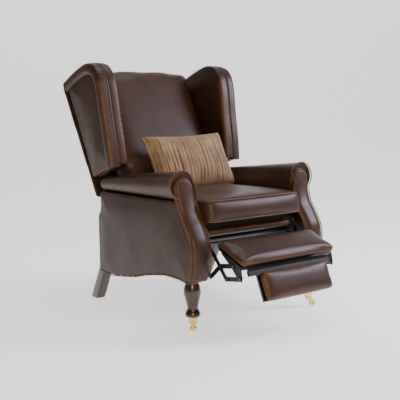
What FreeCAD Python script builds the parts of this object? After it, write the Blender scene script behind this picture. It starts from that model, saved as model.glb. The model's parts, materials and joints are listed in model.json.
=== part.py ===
import FreeCAD, Part
import math
import os

V = FreeCAD.Vector

# ---------------------------------------------------------------- driving dimensions (mm)
# X is across the chair, +Y is to the rear, +Z is up.  "s" is the distance forward, s = -Y.
# The back stands reclined and the footrest half open: this is the rest pose.

ORIGIN_Y = 6.7             # moves the design so that its box is centred on Y = 0

ARM_IN = 244.0             # inner face of an arm
ARM_OUT = 343.0            # flat outer face of an arm
ARM_REAR = 318.0           # rear end of an arm
ROLL_X = 309.0             # centre of the arm roll
ROLL_FRONT_R = 56.0
ROLL_REAR_R = 32.0
ROLL_BOTTOM_Z = 506.0      # underside of the roll, level along its length
BASE_Z = 201.0             # underside of the wooden base, where the legs start
DECK_Z = 398.0             # top of the mechanism cleats

FACING_T = 22.0            # thickness of a padded arm front
FACE_CURVE = [(360, BASE_Z), (372, 260), (376, 312), (367, 362), (340, 410),
              (313, 452), (297, 500), (288, 560), (284, 625)]      # (s, z) of the arm front

SIDE_BOARD = (262.0, 280.0)      # plywood side, |X| from and to
OUTER_PANEL = (325.0, ARM_OUT)
CLEAT = (243.0, 262.0)

LEG_X = 303.0
LEG_FRONT_S = 322.0
CUP_TOP_Z = 66.0
CUP_TOP_R = 18.5
CUP_BOTTOM_Z = 39.0
CUP_BOTTOM_R = 14.0
WHEEL_R = 15.5
WHEEL_W = 16.0
AXLE_R = 3.0
STEM_R = 5.5
CROWN_Z = 32.5             # underside of the fork's crown
CROWN_T = 3.5
CASTOR_TRAIL = 17.0
CASTOR_TURN = {"left": 55.0, "right": -35.0}    # direction of trail, degrees from +X

RAIL_TOP_Z = 262.0         # top of the rear rail and of the rear legs
SEAT_FRAME_TOP_Z = 409.0

PIVOT = (320.0, 420.0)     # recline hinge (Y, Z)
HINGE_BOLT_R = 6.0
LEAN = 26.0                # lean of the back at rest, degrees
BACK_T = 150.0             # thickness of the back
BACK_TOP = 640.0           # its top, measured up the back from the hinge
BACK_HALF = 266.0          # half its width above the arms
WAIST_HALF = 236.0         # half its width between the arms
WAIST_TOP = 140.0          # where it widens
SHELL_T = 17.0             # thickness of the outside back
SHELL_LOW = 32.0           # its lower edge between the arms
SHELL_SIDE_LOW = 64.0      # its lower edge behind the arms, which it clears when the back is upright
WING_TILT = 2.0            # outward lean of the wings, degrees
WING_IN = 270.0
WING_OUT = 356.0
WING_ROLL_W = 50.0         # width of the padded border round a wing

# footrest linkage, points as (s, z) at rest
O1 = (245.0, 336.0)        # drive link on the side plate
O2 = (305.0, 385.0)        # lift link on the side plate
P1 = (412.0, 264.0)
V1 = (352.0, 215.0)
V2 = (450.0, 221.0)
Q1 = (486.0, 275.0)
Q2 = (524.0, 232.0)
PAD_FRONT = (552.0, 304.0)       # top front edge of the footrest pad
PAD_TILT = -22.5                 # slope of the footrest at rest, degrees
FLAP_FOLD = -45.0                # fold of the flap against the footrest at rest, degrees
PAD_LEN = 154.0
PAD_T = 34.0
BOARD_T = 9.0
PAD_HALF = 236.0
FLAP_LEN = 110.0
FLAP_GAP = 8.0
FLAP_HALF = 165.0
HEAD_FROM = -5.0                 # the flap board's wide head starts here, near the hinge
HEAD_HALF = 205.0
FLAP_HINGE = (-17.7, -50.0)      # (along the pad, above it) from PAD_FRONT

LINK_T = 3.0
LINK_R = 9.0
PIN_R = 4.0
HOLE_R = 4.06
LAYER = {1: 236.5, 2: 233.0, 3: 229.5}     # inner |X| of each layer of links
PLATE_X = 240.0
PLATE_BOLTS = [(140, 380), (140, 335), (195, 388), (195, 345)]
TIE_ROD = (110, 345)
TIE_ROD_R = 6.0

CUSHION = (241.0, -163.0, 362.0, 413.0, 510.0)    # half width, s rear, s front, z bottom, z top
PILLOW_LOW = (-100.0, 590.0, 70.0)                # (s, z, radius) of its round bottom edge
PILLOW_LEAN = 32.0
PILLOW_REACH = 135.0
PILLOW_TOP_R = 60.0
PILLOW_X = (-203.0, 214.0)

GAP = 0.5

NODES = {}


# ---------------------------------------------------------------- helpers

def at(s, z, x=0.0):
    return V(x, -s, z)


def prism(points, x0, x1):
    """Closed outline of (s, z) points, extruded across the chair."""
    wire = Part.makePolygon([at(s, z, x0) for s, z in points] + [at(*points[0], x0)])
    return Part.Face(wire).extrude(V(x1 - x0, 0, 0))


def box(x0, x1, s0, s1, z0, z1):
    return Part.makeBox(x1 - x0, s1 - s0, z1 - z0, V(x0, -s1, z0))


def rod(point, radius, x0, x1):
    return Part.makeCylinder(radius, x1 - x0, at(*point, x0), V(1, 0, 0))


def fuse(shapes):
    solid = shapes[0]
    for shape in shapes[1:]:
        solid = solid.fuse(shape)
    return solid.removeSplitter()


def round_edges(solid, radius, wanted=None):
    edges = [e for e in solid.Edges if wanted is None or wanted(e)]
    return solid.makeFillet(radius, edges)


def mirrored(shape):
    return shape.mirror(V(0, 0, 0), V(1, 0, 0))


def pair(name, shape):
    """A piece of the right side and its mirror image on the left."""
    NODES[name + "_right"] = shape
    NODES[name + "_left"] = mirrored(shape)


def both(shape):
    return Part.makeCompound([shape, mirrored(shape)])


def bar(points, radius, x0, thickness=LINK_T):
    """Flat link with round ends through the given (s, z) points."""
    pieces = [rod(p, radius, x0, x0 + thickness) for p in points]
    for (s0, z0), (s1, z1) in zip(points, points[1:]):
        length = math.hypot(s1 - s0, z1 - z0)
        ds = (z1 - z0) / length * radius
        dz = (s1 - s0) / length * radius
        pieces.append(prism([(s0 - ds, z0 + dz), (s1 - ds, z1 + dz),
                             (s1 + ds, z1 - dz), (s0 + ds, z0 - dz)], x0, x0 + thickness))
    return fuse(pieces)


def drill(solid, points, radius, x0=150.0, x1=300.0):
    for point in points:
        solid = solid.cut(rod(point, radius, x0, x1))
    return solid


# ---------------------------------------------------------------- arms and base

def face_region(setback):
    """Everything in front of the arm-front curve moved back by setback."""
    curve = Part.BSplineCurve()
    curve.interpolate([at(s - setback, z, 200) for s, z in FACE_CURVE])
    first = at(FACE_CURVE[0][0] - setback, FACE_CURVE[0][1], 200)
    last = at(FACE_CURVE[-1][0] - setback, FACE_CURVE[-1][1], 200)
    lines = [Part.makeLine(last, at(700, 625, 200)),
             Part.makeLine(at(700, 625, 200), at(700, BASE_Z, 200)),
             Part.makeLine(at(700, BASE_Z, 200), first)]
    wire = Part.Wire([curve.toShape()] + lines)
    return Part.Face(wire).extrude(V(220, 0, 0))


BEHIND_FACING = face_region(FACING_T)


def make_arm():
    roll_z = ROLL_BOTTOM_Z + ROLL_FRONT_R
    outline = fuse([box(ARM_IN, ARM_OUT, 200, 400, BASE_Z, roll_z - 20),
                    Part.makeCylinder(ROLL_FRONT_R, 200, at(400, roll_z, ROLL_X), V(0, 1, 0)),
                    box(ARM_IN, ROLL_X, 200, 400, roll_z - 60, roll_z)])
    facing = outline.common(BEHIND_FACING).cut(face_region(0.0))
    pair("arm_facing", facing)

    length = ARM_REAR + 300
    front = Part.Wire(Part.makeCircle(ROLL_FRONT_R, at(300, roll_z, ROLL_X), V(0, 1, 0)))
    rear_z = ROLL_BOTTOM_Z + ROLL_REAR_R
    rear = Part.Wire(Part.makeCircle(ROLL_REAR_R, at(300 - length, rear_z, ROLL_X - 4), V(0, 1, 0)))
    roll = Part.makeLoft([front, rear], True)
    inner = prism([(300, 412), (300, roll_z), (-300, rear_z), (-300, 412)], ARM_IN, CLEAT[1] - GAP)
    under = prism([(300, ROLL_BOTTOM_Z), (300, roll_z), (-300, rear_z), (-300, ROLL_BOTTOM_Z)],
                  ARM_IN, ROLL_X - 4)
    pair("arm_pad", fuse([roll, inner, under]).cut(BEHIND_FACING))

    board = prism([(350, BASE_Z), (350, ROLL_BOTTOM_Z - GAP), (-ARM_REAR, ROLL_BOTTOM_Z - GAP),
                   (-ARM_REAR, 430), (-336, 430), (-336, 400), (-310, 264), (-286, 264), (-286, BASE_Z)],
                  *SIDE_BOARD)
    board = board.cut(BEHIND_FACING).cut(rod((-PIVOT[0], PIVOT[1]), HINGE_BOLT_R + 0.05, 200, 300))
    for bolt in PLATE_BOLTS:
        board = board.cut(rod(bolt, 3.0, 200, 300))
    pair("side_board", board)

    panel = prism([(350, 205), (230, 214), (50, 187), (-110, 156), (-260, 143), (-352, 150),
                   (-345, 400), (-ARM_REAR, 425), (-ARM_REAR, ROLL_BOTTOM_Z - GAP),
                   (350, ROLL_BOTTOM_Z - GAP)], *OUTER_PANEL)
    pair("outer_side_panel", panel.cut(BEHIND_FACING))


def rear_leg(x_centre):
    raked = [(-419, 0), (-473, 0), (-393, 132), (-315, RAIL_TOP_Z), (-262, RAIL_TOP_Z), (-336, 140)]
    return prism(raked, x_centre - 22, x_centre + 22)


def make_base():
    leg = rear_leg(LEG_X)
    pair("rear_leg", leg)
    side_x = (SIDE_BOARD[1] + GAP, OUTER_PANEL[0] - GAP)
    sill = box(*side_x, -285, 345, BASE_Z, 250)
    rear_post = box(*side_x, -ARM_REAR + GAP, -285, RAIL_TOP_Z + GAP, ROLL_BOTTOM_Z - GAP)
    front_post = box(*side_x, 230, 345, 250, 440)
    arm_rail = box(*side_x, -285, 230, 440, 470)
    frame = fuse([sill, front_post, arm_rail, rear_post])
    bolt_space = rod((-PIVOT[0], PIVOT[1]), 2 * HINGE_BOLT_R, 270, 300)
    frame = frame.cut(BEHIND_FACING).cut(leg).cut(bolt_space)
    pair("side_frame", frame)
    cleat = box(*CLEAT, -120, 298, 300, DECK_Z - GAP)
    for bolt in PLATE_BOLTS:
        cleat = cleat.cut(rod(bolt, 4.05, 200, 300))
    pair("mechanism_cleat", cleat)

    NODES["rear_rail"] = box(-SIDE_BOARD[0], SIDE_BOARD[0], -317, -290, BASE_Z, RAIL_TOP_Z)
    NODES["rear_panel"] = box(-324.5, 324.5, -353, -346, 216, 438)
    rail = box(-215, 215, 252, 312, 358, 385)
    NODES["front_rail"] = round_edges(rail, 9.0)

    half = CLEAT[1] - GAP
    top = SEAT_FRAME_TOP_Z
    side_bar = box(200, half, -215, 290, DECK_Z, top)
    front_bar = box(-200, 200, 240, 290, DECK_Z, top)
    front_lip = box(-200, 200, 262, 290, 385.3, DECK_Z)
    rear_bar = box(-200, 200, -215, -170, DECK_Z, top)
    NODES["seat_frame"] = fuse([side_bar, mirrored(side_bar), front_bar, front_lip, rear_bar])
    webs = [box(x - 24, x + 24, -190, 260, top + 0.2, top + 1.4) for x in (-160, -80, 0, 80, 160)]
    NODES["seat_webbing"] = Part.makeCompound(webs)
    NODES["seat_deck"] = round_edges(box(-242, 242, -210, 300, top + 1.6, top + 3.6), 0.8)


def make_cushions():
    half, s0, s1, z0, z1 = CUSHION
    NODES["seat_cushion"] = round_edges(box(-half, half, s0, s1, z0, z1), 18.0)

    s, z, low_r = PILLOW_LOW
    lean = math.radians(PILLOW_LEAN)
    top = (s - PILLOW_REACH * math.sin(lean), z + PILLOW_REACH * math.cos(lean))
    x0, x1 = PILLOW_X
    spread = math.acos((low_r - PILLOW_TOP_R) / PILLOW_REACH)      # tangent lines touch both rounds here
    quad = []
    for point, radius, sides in (((s, z), low_r, (-1, 1)), (top, PILLOW_TOP_R, (1, -1))):
        for side in sides:
            way = math.pi / 2 + lean + side * spread
            quad.append((point[0] + radius * math.cos(way), point[1] + radius * math.sin(way)))
    body = fuse([prism(quad, x0, x1), rod((s, z), low_r, x0, x1), rod(top, PILLOW_TOP_R, x0, x1)])
    NODES["lumbar_cushion"] = round_edges(body, 22.0, lambda edge: edge.BoundBox.XLength < 0.01)


# ---------------------------------------------------------------- legs and castors

def turned(profile, x, s):
    """Solid of revolution from (radius, z) points about a vertical line."""
    curve = Part.BSplineCurve()
    curve.interpolate([V(r, 0, z) for r, z in profile])
    bottom = V(0, 0, profile[0][1])
    top = V(0, 0, profile[-1][1])
    wire = Part.Wire([Part.makeLine(bottom, V(profile[0][0], 0, profile[0][1])), curve.toShape(),
                      Part.makeLine(V(profile[-1][0], 0, profile[-1][1]), top),
                      Part.makeLine(top, bottom)])
    solid = Part.Face(wire).revolve(V(0, 0, 0), V(0, 0, 1), 360)
    return solid.translated(at(s, 0, x))


def make_castor(side, sign):
    """Brass cup castor under a front leg."""
    x = sign * LEG_X
    centre = at(LEG_FRONT_S, 0, x)
    cup = Part.makeCone(CUP_BOTTOM_R, CUP_TOP_R, CUP_TOP_Z - CUP_BOTTOM_Z, centre + V(0, 0, CUP_BOTTOM_Z))
    cup = cup.cut(Part.makeCylinder(STEM_R + 0.06, 12, centre + V(0, 0, CUP_BOTTOM_Z)))
    NODES["castor_cup_" + side] = cup

    trail = CASTOR_TRAIL
    cheek_y = WHEEL_W / 2 + 1.0
    stem = Part.makeCylinder(STEM_R, 17, V(0, 0, CROWN_Z))
    crown = Part.makeBox(trail + 14, 2 * cheek_y + 6, CROWN_T, V(-7, -cheek_y - 3, CROWN_Z))
    cheek = Part.makeBox(16, 3, CROWN_Z - 10, V(trail - 8, cheek_y, 10))
    axle = Part.makeCylinder(AXLE_R, 2 * cheek_y + 8, V(trail, -cheek_y - 4, WHEEL_R), V(0, 1, 0))
    fork = fuse([stem, crown, cheek, cheek.mirror(V(0, 0, 0), V(0, 1, 0)), axle])
    wheel = Part.makeCylinder(WHEEL_R, WHEEL_W, V(trail, -WHEEL_W / 2, WHEEL_R), V(0, 1, 0))
    wheel = wheel.makeFillet(2.5, [e for e in wheel.Edges if isinstance(e.Curve, Part.Circle)])
    wheel = wheel.cut(Part.makeCylinder(AXLE_R + 0.06, 40, V(trail, -20, WHEEL_R), V(0, 1, 0)))
    for name, shape in (("castor_fork_", fork), ("castor_wheel_", wheel)):
        shape = shape.copy()
        shape.rotate(V(0, 0, 0), V(0, 0, 1), CASTOR_TURN[side])
        NODES[name + side] = shape.translated(centre)


def make_legs():
    profile = [(25.0, CUP_TOP_Z), (29.8, 74), (27.2, 84), (21.2, 97), (22.6, 113),
               (28.6, 138), (33.4, 162), (31.0, 182), (26.5, BASE_Z)]
    pair("front_leg", turned(profile, LEG_X, LEG_FRONT_S))
    make_castor("right", 1)
    make_castor("left", -1)


# ---------------------------------------------------------------- back and wings

def on_back(shape):
    """Moves a piece drawn upright round the hinge (Y = 0, Z = 0) to its place on the back."""
    shape = shape.copy()
    shape.rotate(V(0, 0, 0), V(1, 0, 0), -LEAN)
    return shape.translated(V(0, PIVOT[0], PIVOT[1]))


def tilted(shape):
    shape = shape.copy()
    shape.rotate(V(WING_IN, 0, 126), V(0, 1, 0), WING_TILT)
    return shape


def slab(outline, x0, x1):
    """Outline in (n, t): n to the rear of the hinge, t up the back."""
    return prism([(-n, t) for n, t in outline], x0, x1)


def make_back():
    overlap = 10
    low_pad = round_edges(box(-WAIST_HALF, WAIST_HALF, 31, BACK_T, -28, WAIST_TOP + overlap), 12.0)
    high_pad = round_edges(box(-BACK_HALF, BACK_HALF, 31, BACK_T, WAIST_TOP, BACK_TOP), 26.0)
    NODES["back_pad"] = on_back(fuse([low_pad, high_pad]))
    low_board = box(-WAIST_HALF, WAIST_HALF, 18, 30.7, 0, WAIST_TOP)
    high_board = box(-BACK_HALF, BACK_HALF, 18, 30.7, WAIST_TOP, BACK_TOP - 30)
    NODES["back_board"] = on_back(fuse([low_board, high_board]))
    tongue = round_edges(box(-WAIST_HALF, WAIST_HALF, 0, SHELL_T, SHELL_LOW, SHELL_SIDE_LOW + 40), 7.0)
    shell = round_edges(box(-ARM_OUT, ARM_OUT, 0, SHELL_T, SHELL_SIDE_LOW, BACK_TOP), 7.0)
    NODES["outside_back"] = on_back(fuse([tongue, shell]))

    rear = -18.0
    outer = [(rear, 158), (-212, 126), (-274, 311), (-320, 455), (-312, 530), (-262, 590), (rear, 632)]
    inner = [(rear, 159), (-190, 131), (-228, 330), (-268, 462), (-262, 510), (-232, 548), (rear, 582)]
    hollow = slab([(rear + 5, 100), (-186, 100)] + inner[1:] + [(rear + 5, 585)], WING_IN - 50, WING_OUT + 50)
    border = slab(outer, WING_IN, WING_OUT).cut(hollow)
    gap = 0.6
    field = [(n + gap * (n < rear), t - gap * (i > 1)) for i, (n, t) in enumerate(inner)]
    layers = {"wing_pad": (WING_IN + 4, 299.5), "wing_board": (300, 314), "wing_panel": (314.5, 338)}
    pair("wing_roll", on_back(tilted(border)))
    for name, (x0, x1) in layers.items():
        pair(name, on_back(tilted(slab(field, x0, x1))))

    ear = slab([(-30, -14), (14, -14), (14, 14), (4, 28), (-18.5, 34), (-18.5, 138), (-30, 138)], 236.2, 241)
    ear = ear.cut(rod((0, 0), HINGE_BOLT_R + 0.06, 200, 300))
    NODES["recline_brackets"] = both(on_back(ear))
    centre = (-PIVOT[0], PIVOT[1])
    shank = rod(centre, HINGE_BOLT_R, 235.5, 281)
    spacer = rod(centre, 9.0, 241.3, CLEAT[1] - GAP)
    head = rod(centre, 10.0, 280.5, 286)
    bolt = fuse([shank, spacer, head])
    NODES["recline_bolts"] = both(bolt)


# ---------------------------------------------------------------- footrest

def on_pad(u, n):
    """(s, z) of a point given along the pad and above it, from its front edge."""
    a = math.radians(PAD_TILT)
    return (PAD_FRONT[0] + u * math.cos(a) - n * math.sin(a),
            PAD_FRONT[1] + u * math.sin(a) + n * math.cos(a))


def on_flap(u, n):
    """The same for the flap, which is drawn in line with the pad and folded at its hinge."""
    a = math.radians(FLAP_FOLD)
    du = u - FLAP_HINGE[0]
    dn = n - FLAP_HINGE[1]
    return on_pad(FLAP_HINGE[0] + du * math.cos(a) - dn * math.sin(a),
                  FLAP_HINGE[1] + du * math.sin(a) + dn * math.cos(a))


def panel_on(place, u0, u1, n0, n1, half):
    return prism([place(u0, n0), place(u1, n0), place(u1, n1), place(u0, n1)], -half, half)


def make_links():
    plate = prism([(100, 325), (265, 322), (322, 372), (322, 396), (100, 396)], PLATE_X, PLATE_X + LINK_T)
    plate = drill(plate, PLATE_BOLTS, 4.3)
    plate = drill(plate, [TIE_ROD], TIE_ROD_R)
    drive_pin = rod(O1, PIN_R, LAYER[1] - 0.5, PLATE_X + 1)
    lift_pin = rod(O2, PIN_R, LAYER[1] - 1, PLATE_X + 1)
    plate = fuse([plate, drive_pin, lift_pin])
    pair("mechanism_plate", plate)
    bolts = []
    for point in PLATE_BOLTS:
        shank = rod(point, 4.0, PLATE_X - 0.5, 261.9)
        head = rod(point, 7.0, PLATE_X - 4.0, PLATE_X)
        bolts += [fuse([shank, head]), mirrored(fuse([shank, head]))]
    NODES["plate_bolts"] = Part.makeCompound(bolts)
    NODES["tie_rod"] = rod(TIE_ROD, TIE_ROD_R, -PLATE_X - LINK_T, PLATE_X + LINK_T)

    lift = bar([O2, P1, V2], LINK_R, LAYER[1])
    lift = drill(lift, [O2], HOLE_R)
    lift = fuse([lift] + [rod(p, PIN_R, LAYER[2] - 0.3, LAYER[1] + 1) for p in (P1, V2)])
    NODES["lift_links"] = both(lift)
    drive = drill(bar([O1, V1], LINK_R, LAYER[1]), [O1], HOLE_R)
    drive = fuse([drive, rod(V1, PIN_R, LAYER[2] - 0.3, LAYER[1] + 1)])
    NODES["drive_links"] = both(drive)
    half = LAYER[1]
    tube = rod(O1, 10.0, -half, half).cut(rod(O1, 8.0, -half, half))
    NODES["drive_tube"] = tube

    carrier = drill(bar([V1, P1, Q1], LINK_R, LAYER[2]), [V1, P1], HOLE_R)
    carrier = fuse([carrier, rod(Q1, PIN_R, LAYER[3] - 0.3, LAYER[2] + 1)])
    NODES["carrier_links"] = both(carrier)
    guide = drill(bar([V2, Q2], LINK_R, LAYER[2]), [V2], HOLE_R)
    guide = fuse([guide, rod(Q2, PIN_R, LAYER[3] - 0.3, LAYER[2] + 1)])
    NODES["guide_links"] = both(guide)


def make_footrest():
    ear = [(-130, -35), (-12, -35), (12, -70), (13, -84), (-4, -88), (-60, -63), (-130, -45)]
    bracket = prism([on_pad(u, n) for u, n in ear], LAYER[3], LAYER[3] + LINK_T)
    bracket = drill(bracket, [Q1, Q2], HOLE_R)
    hinge = on_pad(*FLAP_HINGE)
    bracket = drill(bracket, [hinge], PIN_R)
    NODES["footrest_brackets"] = both(bracket)
    NODES["flap_hinge_rod"] = rod(hinge, PIN_R, -232.5, 232.5)

    board = panel_on(on_pad, -150, -8, -PAD_T - BOARD_T, -PAD_T - 0.3, LAYER[3])
    NODES["footrest_board"] = board
    pad = panel_on(on_pad, -PAD_LEN, 0, -PAD_T, 0, PAD_HALF)
    NODES["footrest_pad"] = round_edges(pad, 10.0)

    u0 = FLAP_GAP
    u1 = FLAP_GAP + FLAP_LEN
    low = -PAD_T - BOARD_T
    head = panel_on(on_flap, HEAD_FROM, u0 + 6, low, -PAD_T - 0.3, HEAD_HALF)
    tail = panel_on(on_flap, u0 + 6, u1 - 4, low, -PAD_T - 0.3, FLAP_HALF + 3)
    NODES["flap_board"] = fuse([head, tail])
    NODES["flap_pad"] = round_edges(panel_on(on_flap, u0, u1, -PAD_T, 0, FLAP_HALF), 10.0)
    arm_outline = [(-20, -43.6), (72, -43.4), (72, -52), (-10, -57), (-20, -56.3)]
    arm = fuse([prism([on_flap(u, n) for u, n in arm_outline], 148, 151), rod(hinge, 6.4, 148, 151)])
    NODES["flap_arms"] = both(arm.cut(rod(hinge, HOLE_R, 100, 200)))


# ---------------------------------------------------------------- build and export

def main():
    make_arm()
    make_base()
    make_cushions()
    make_legs()
    make_back()
    make_links()
    make_footrest()
    os.makedirs("parts", exist_ok=True)
    whole = FreeCAD.BoundBox()
    for name, shape in NODES.items():
        placed = shape.translated(V(0, ORIGIN_Y, 0))
        if not placed.isValid():
            print("not valid:", name)
        whole.add(placed.BoundBox)
        placed.exportStep("parts/" + name + ".step")
    print(len(NODES), "nodes")
    print("box X %.1f %.1f  Y %.1f %.1f  Z %.1f %.1f" % (
        whole.XMin, whole.XMax, whole.YMin, whole.YMax, whole.ZMin, whole.ZMax))


main()
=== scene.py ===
# %% [markdown]
# # A wing-back recliner in brown leather
# This notebook dresses a finished CAD frame. The frame gives every size and every moving body.
# Blender adds what CAD leaves plain: plump leather, welted seams, pleats, turned wood, polished brass
# and a corduroy cushion. All lengths are in metres.

# %% Load the frame and measure it
import json
import math
import random
import bmesh
import bpy
from mathutils import Matrix, Vector, noise
from mathutils.bvhtree import BVHTree
from mathutils.kdtree import KDTree


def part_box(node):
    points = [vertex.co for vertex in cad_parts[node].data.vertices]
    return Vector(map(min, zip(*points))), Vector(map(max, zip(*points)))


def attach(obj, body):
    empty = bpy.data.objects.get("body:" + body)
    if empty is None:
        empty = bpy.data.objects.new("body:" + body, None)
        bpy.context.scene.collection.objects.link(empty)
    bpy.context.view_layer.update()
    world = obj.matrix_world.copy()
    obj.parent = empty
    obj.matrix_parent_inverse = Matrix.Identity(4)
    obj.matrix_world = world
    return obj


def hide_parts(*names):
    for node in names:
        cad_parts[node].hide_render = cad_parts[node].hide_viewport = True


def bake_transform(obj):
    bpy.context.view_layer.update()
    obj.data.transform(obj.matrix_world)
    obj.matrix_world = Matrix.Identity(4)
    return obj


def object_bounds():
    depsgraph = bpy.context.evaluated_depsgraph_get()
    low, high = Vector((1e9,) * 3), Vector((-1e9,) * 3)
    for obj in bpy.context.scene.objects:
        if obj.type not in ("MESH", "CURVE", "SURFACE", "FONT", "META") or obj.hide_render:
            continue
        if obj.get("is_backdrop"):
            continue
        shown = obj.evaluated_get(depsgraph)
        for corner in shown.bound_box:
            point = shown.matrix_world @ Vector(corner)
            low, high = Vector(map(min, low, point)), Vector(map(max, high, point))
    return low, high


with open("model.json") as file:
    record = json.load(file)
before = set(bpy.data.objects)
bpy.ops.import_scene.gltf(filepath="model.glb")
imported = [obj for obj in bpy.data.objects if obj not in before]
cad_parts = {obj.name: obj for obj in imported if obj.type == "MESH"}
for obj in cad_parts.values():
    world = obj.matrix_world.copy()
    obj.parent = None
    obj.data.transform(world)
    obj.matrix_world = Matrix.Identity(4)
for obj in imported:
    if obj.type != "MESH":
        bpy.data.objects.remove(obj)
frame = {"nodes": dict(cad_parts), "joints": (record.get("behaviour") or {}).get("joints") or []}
cad_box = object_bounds()
MM = 0.001
joints = {j["name"]: j for j in frame["joints"]}
print("CAD box", [round(x, 3) for x in (*cad_box[0], *cad_box[1])])

# %% [markdown]
# ## Camera
# A camera comes first, because every later choice is judged through it. It stands in front of the arm
# at the left, a little above it, as a visitor would see the chair across a room.

# %% Camera
Y_SHIFT = 6.7 * MM
YAW, PITCH, ROLL = -0.624, -0.111, -0.026


def look(yaw, pitch, roll):
    """Camera axes for a heading, a slope and a tilt, as a rotation matrix."""
    ahead = Vector((-math.sin(yaw) * math.cos(pitch), math.cos(yaw) * math.cos(pitch), math.sin(pitch)))
    right = Vector((math.cos(yaw), math.sin(yaw), 0))
    up = right.cross(ahead)
    across = right * math.cos(roll) + up * math.sin(roll)
    upward = up * math.cos(roll) - right * math.sin(roll)
    return Matrix((across, upward, -ahead)).transposed()


camera = bpy.data.objects.new("camera", bpy.data.cameras.new("camera"))
bpy.context.scene.collection.objects.link(camera)
camera.data.lens = 64.52
camera.data.sensor_width = 36
CAMERA_PLACE = Vector((-1.82585, -2.50271 + Y_SHIFT, 0.80682))
camera.matrix_world = Matrix.Translation(CAMERA_PLACE) @ look(YAW, PITCH, ROLL).to_4x4()
bpy.context.scene.camera = camera

# %% [markdown]
# ## Floor and light
# A pale floor that curves up into a wall has no horizon line, and it glows a little, so that it stays
# pale around dark leather. A soft cool window at the right lights the front and the tops, a weak light
# overhead opens the shadows, and a small warm lamp at the front left gives the leather its tan edges.

# %% Helpers for objects
scene = bpy.context.scene


def linear(hex_colour):
    """sRGB hex to the linear colour that the shader works in."""
    values = [int(hex_colour[i:i + 2], 16) / 255 for i in (1, 3, 5)]
    return (*[v / 12.92 if v <= 0.04045 else ((v + 0.055) / 1.055) ** 2.4 for v in values], 1)


def add_object(name, bm, smooth=True):
    """A new object at the origin from a bmesh, with its faces pointing outwards."""
    bmesh.ops.recalc_face_normals(bm, faces=bm.faces)
    mesh = bpy.data.meshes.new(name)
    bm.to_mesh(mesh)
    bm.free()
    if smooth:
        mesh.shade_smooth()
    obj = bpy.data.objects.new(name, mesh)
    scene.collection.objects.link(obj)
    return obj


def dress(obj, material, body, slot, *nodes):
    """Gives a piece its material, its body and the CAD nodes that it stands for. The slot is not used."""
    obj.data.materials.clear()
    obj.data.materials.append(material)
    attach(obj, body)
    if nodes:
        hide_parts(*nodes)
    return obj


# %% Floor and lights
bm = bmesh.new()
bmesh.ops.create_grid(bm, x_segments=1, y_segments=1, size=6)
back_edge = [e for e in bm.edges if all(v.co.y > 5.9 for v in e.verts)]
wall = bmesh.ops.extrude_edge_only(bm, edges=back_edge)["geom"]
bmesh.ops.translate(bm, vec=(0, 0, 6), verts=[g for g in wall if isinstance(g, bmesh.types.BMVert)])
bmesh.ops.bevel(bm, geom=back_edge, offset=2.5, segments=16, profile=0.5, affect="EDGES", material=-1)
floor = add_object("floor", bm)
floor.rotation_euler.z = YAW
floor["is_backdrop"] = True
paper = bpy.data.materials.new("white_studio_paper")
paper.use_nodes = True
paper_shader = paper.node_tree.nodes["Principled BSDF"]
paper_shader.inputs["Base Color"].default_value = linear("#f6f6f6")
paper_shader.inputs["Roughness"].default_value = 0.9
paper_shader.inputs["Emission Color"].default_value = linear("#ffffff")
paper_shader.inputs["Emission Strength"].default_value = 0.95
floor.data.materials.append(paper)


def add_light(name, place, target, size, energy, colour="#ffffff"):
    light = bpy.data.lights.new(name, "AREA")
    light.size = size
    light.energy = energy
    light.color = linear(colour)[:3]
    obj = bpy.data.objects.new(name, light)
    scene.collection.objects.link(obj)
    obj.location = place
    obj.rotation_euler = (Vector(target) - Vector(place)).to_track_quat("-Z", "Y").to_euler()
    return obj


add_light("window", (2.6, -1.9, 2.3), (0, -0.1, 0.55), 1.3, 125, "#eeeaff")
add_light("overhead", (0.2, 0.1, 3.0), (0, 0, 0.4), 1.6, 26, "#f4f2ff")
add_light("warm_lamp", (-1.9, -2.9, 1.4), (0.1, -0.1, 0.6), 0.9, 46, "#ffcf9e")
world = bpy.data.worlds.new("studio")
world.use_nodes = True
world.node_tree.nodes["Background"].inputs["Color"].default_value = linear("#f6f1ea")
world.node_tree.nodes["Background"].inputs["Strength"].default_value = 0.22
scene.world = world
print("stage set")

# %% [markdown]
# ## Materials
# One small function adds a node with its settings and its links, so that each material reads as a
# list. Patterns use Object coordinates, because every finished piece sits at the origin.

# %% The node helper
def node(tree, kind, settings=None, **links):
    """Adds a shader node. Settings are attributes; links are input values or (node, output) pairs."""
    made = tree.nodes.new(kind)
    for key, value in (settings or {}).items():
        setattr(made, key, value)
    for key, value in links.items():
        socket = made.inputs[int(key[1:])] if key[1:].isdigit() else made.inputs[key.replace("_", " ")]
        if isinstance(value, tuple) and isinstance(value[0], bpy.types.Node):
            tree.links.new(value[0].outputs[value[1]], socket)
        else:
            socket.default_value = value
    return made


def new_material(name):
    material = bpy.data.materials.new(name)
    material.use_nodes = True
    tree = material.node_tree
    return material, tree, tree.nodes["Principled BSDF"]


def set_values(made, **values):
    """Sets plain values on a node's own sockets."""
    for name, value in values.items():
        made.inputs[name.replace("_", " ")].default_value = value


def feed(tree, shader, **sources):
    """Links nodes to a shader's sockets."""
    for name, (source, output) in sources.items():
        tree.links.new(source.outputs[output], shader.inputs[name.replace("_", " ")])


def ramp(tree, source, stops):
    """A colour ramp from (position, hex colour) stops."""
    made = node(tree, "ShaderNodeValToRGB", i0=source)
    for i, (position, colour) in enumerate(stops):
        element = made.color_ramp.elements[i] if i < 2 else made.color_ramp.elements.new(position)
        element.position = position
        element.color = linear(colour)
    return made
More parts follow.
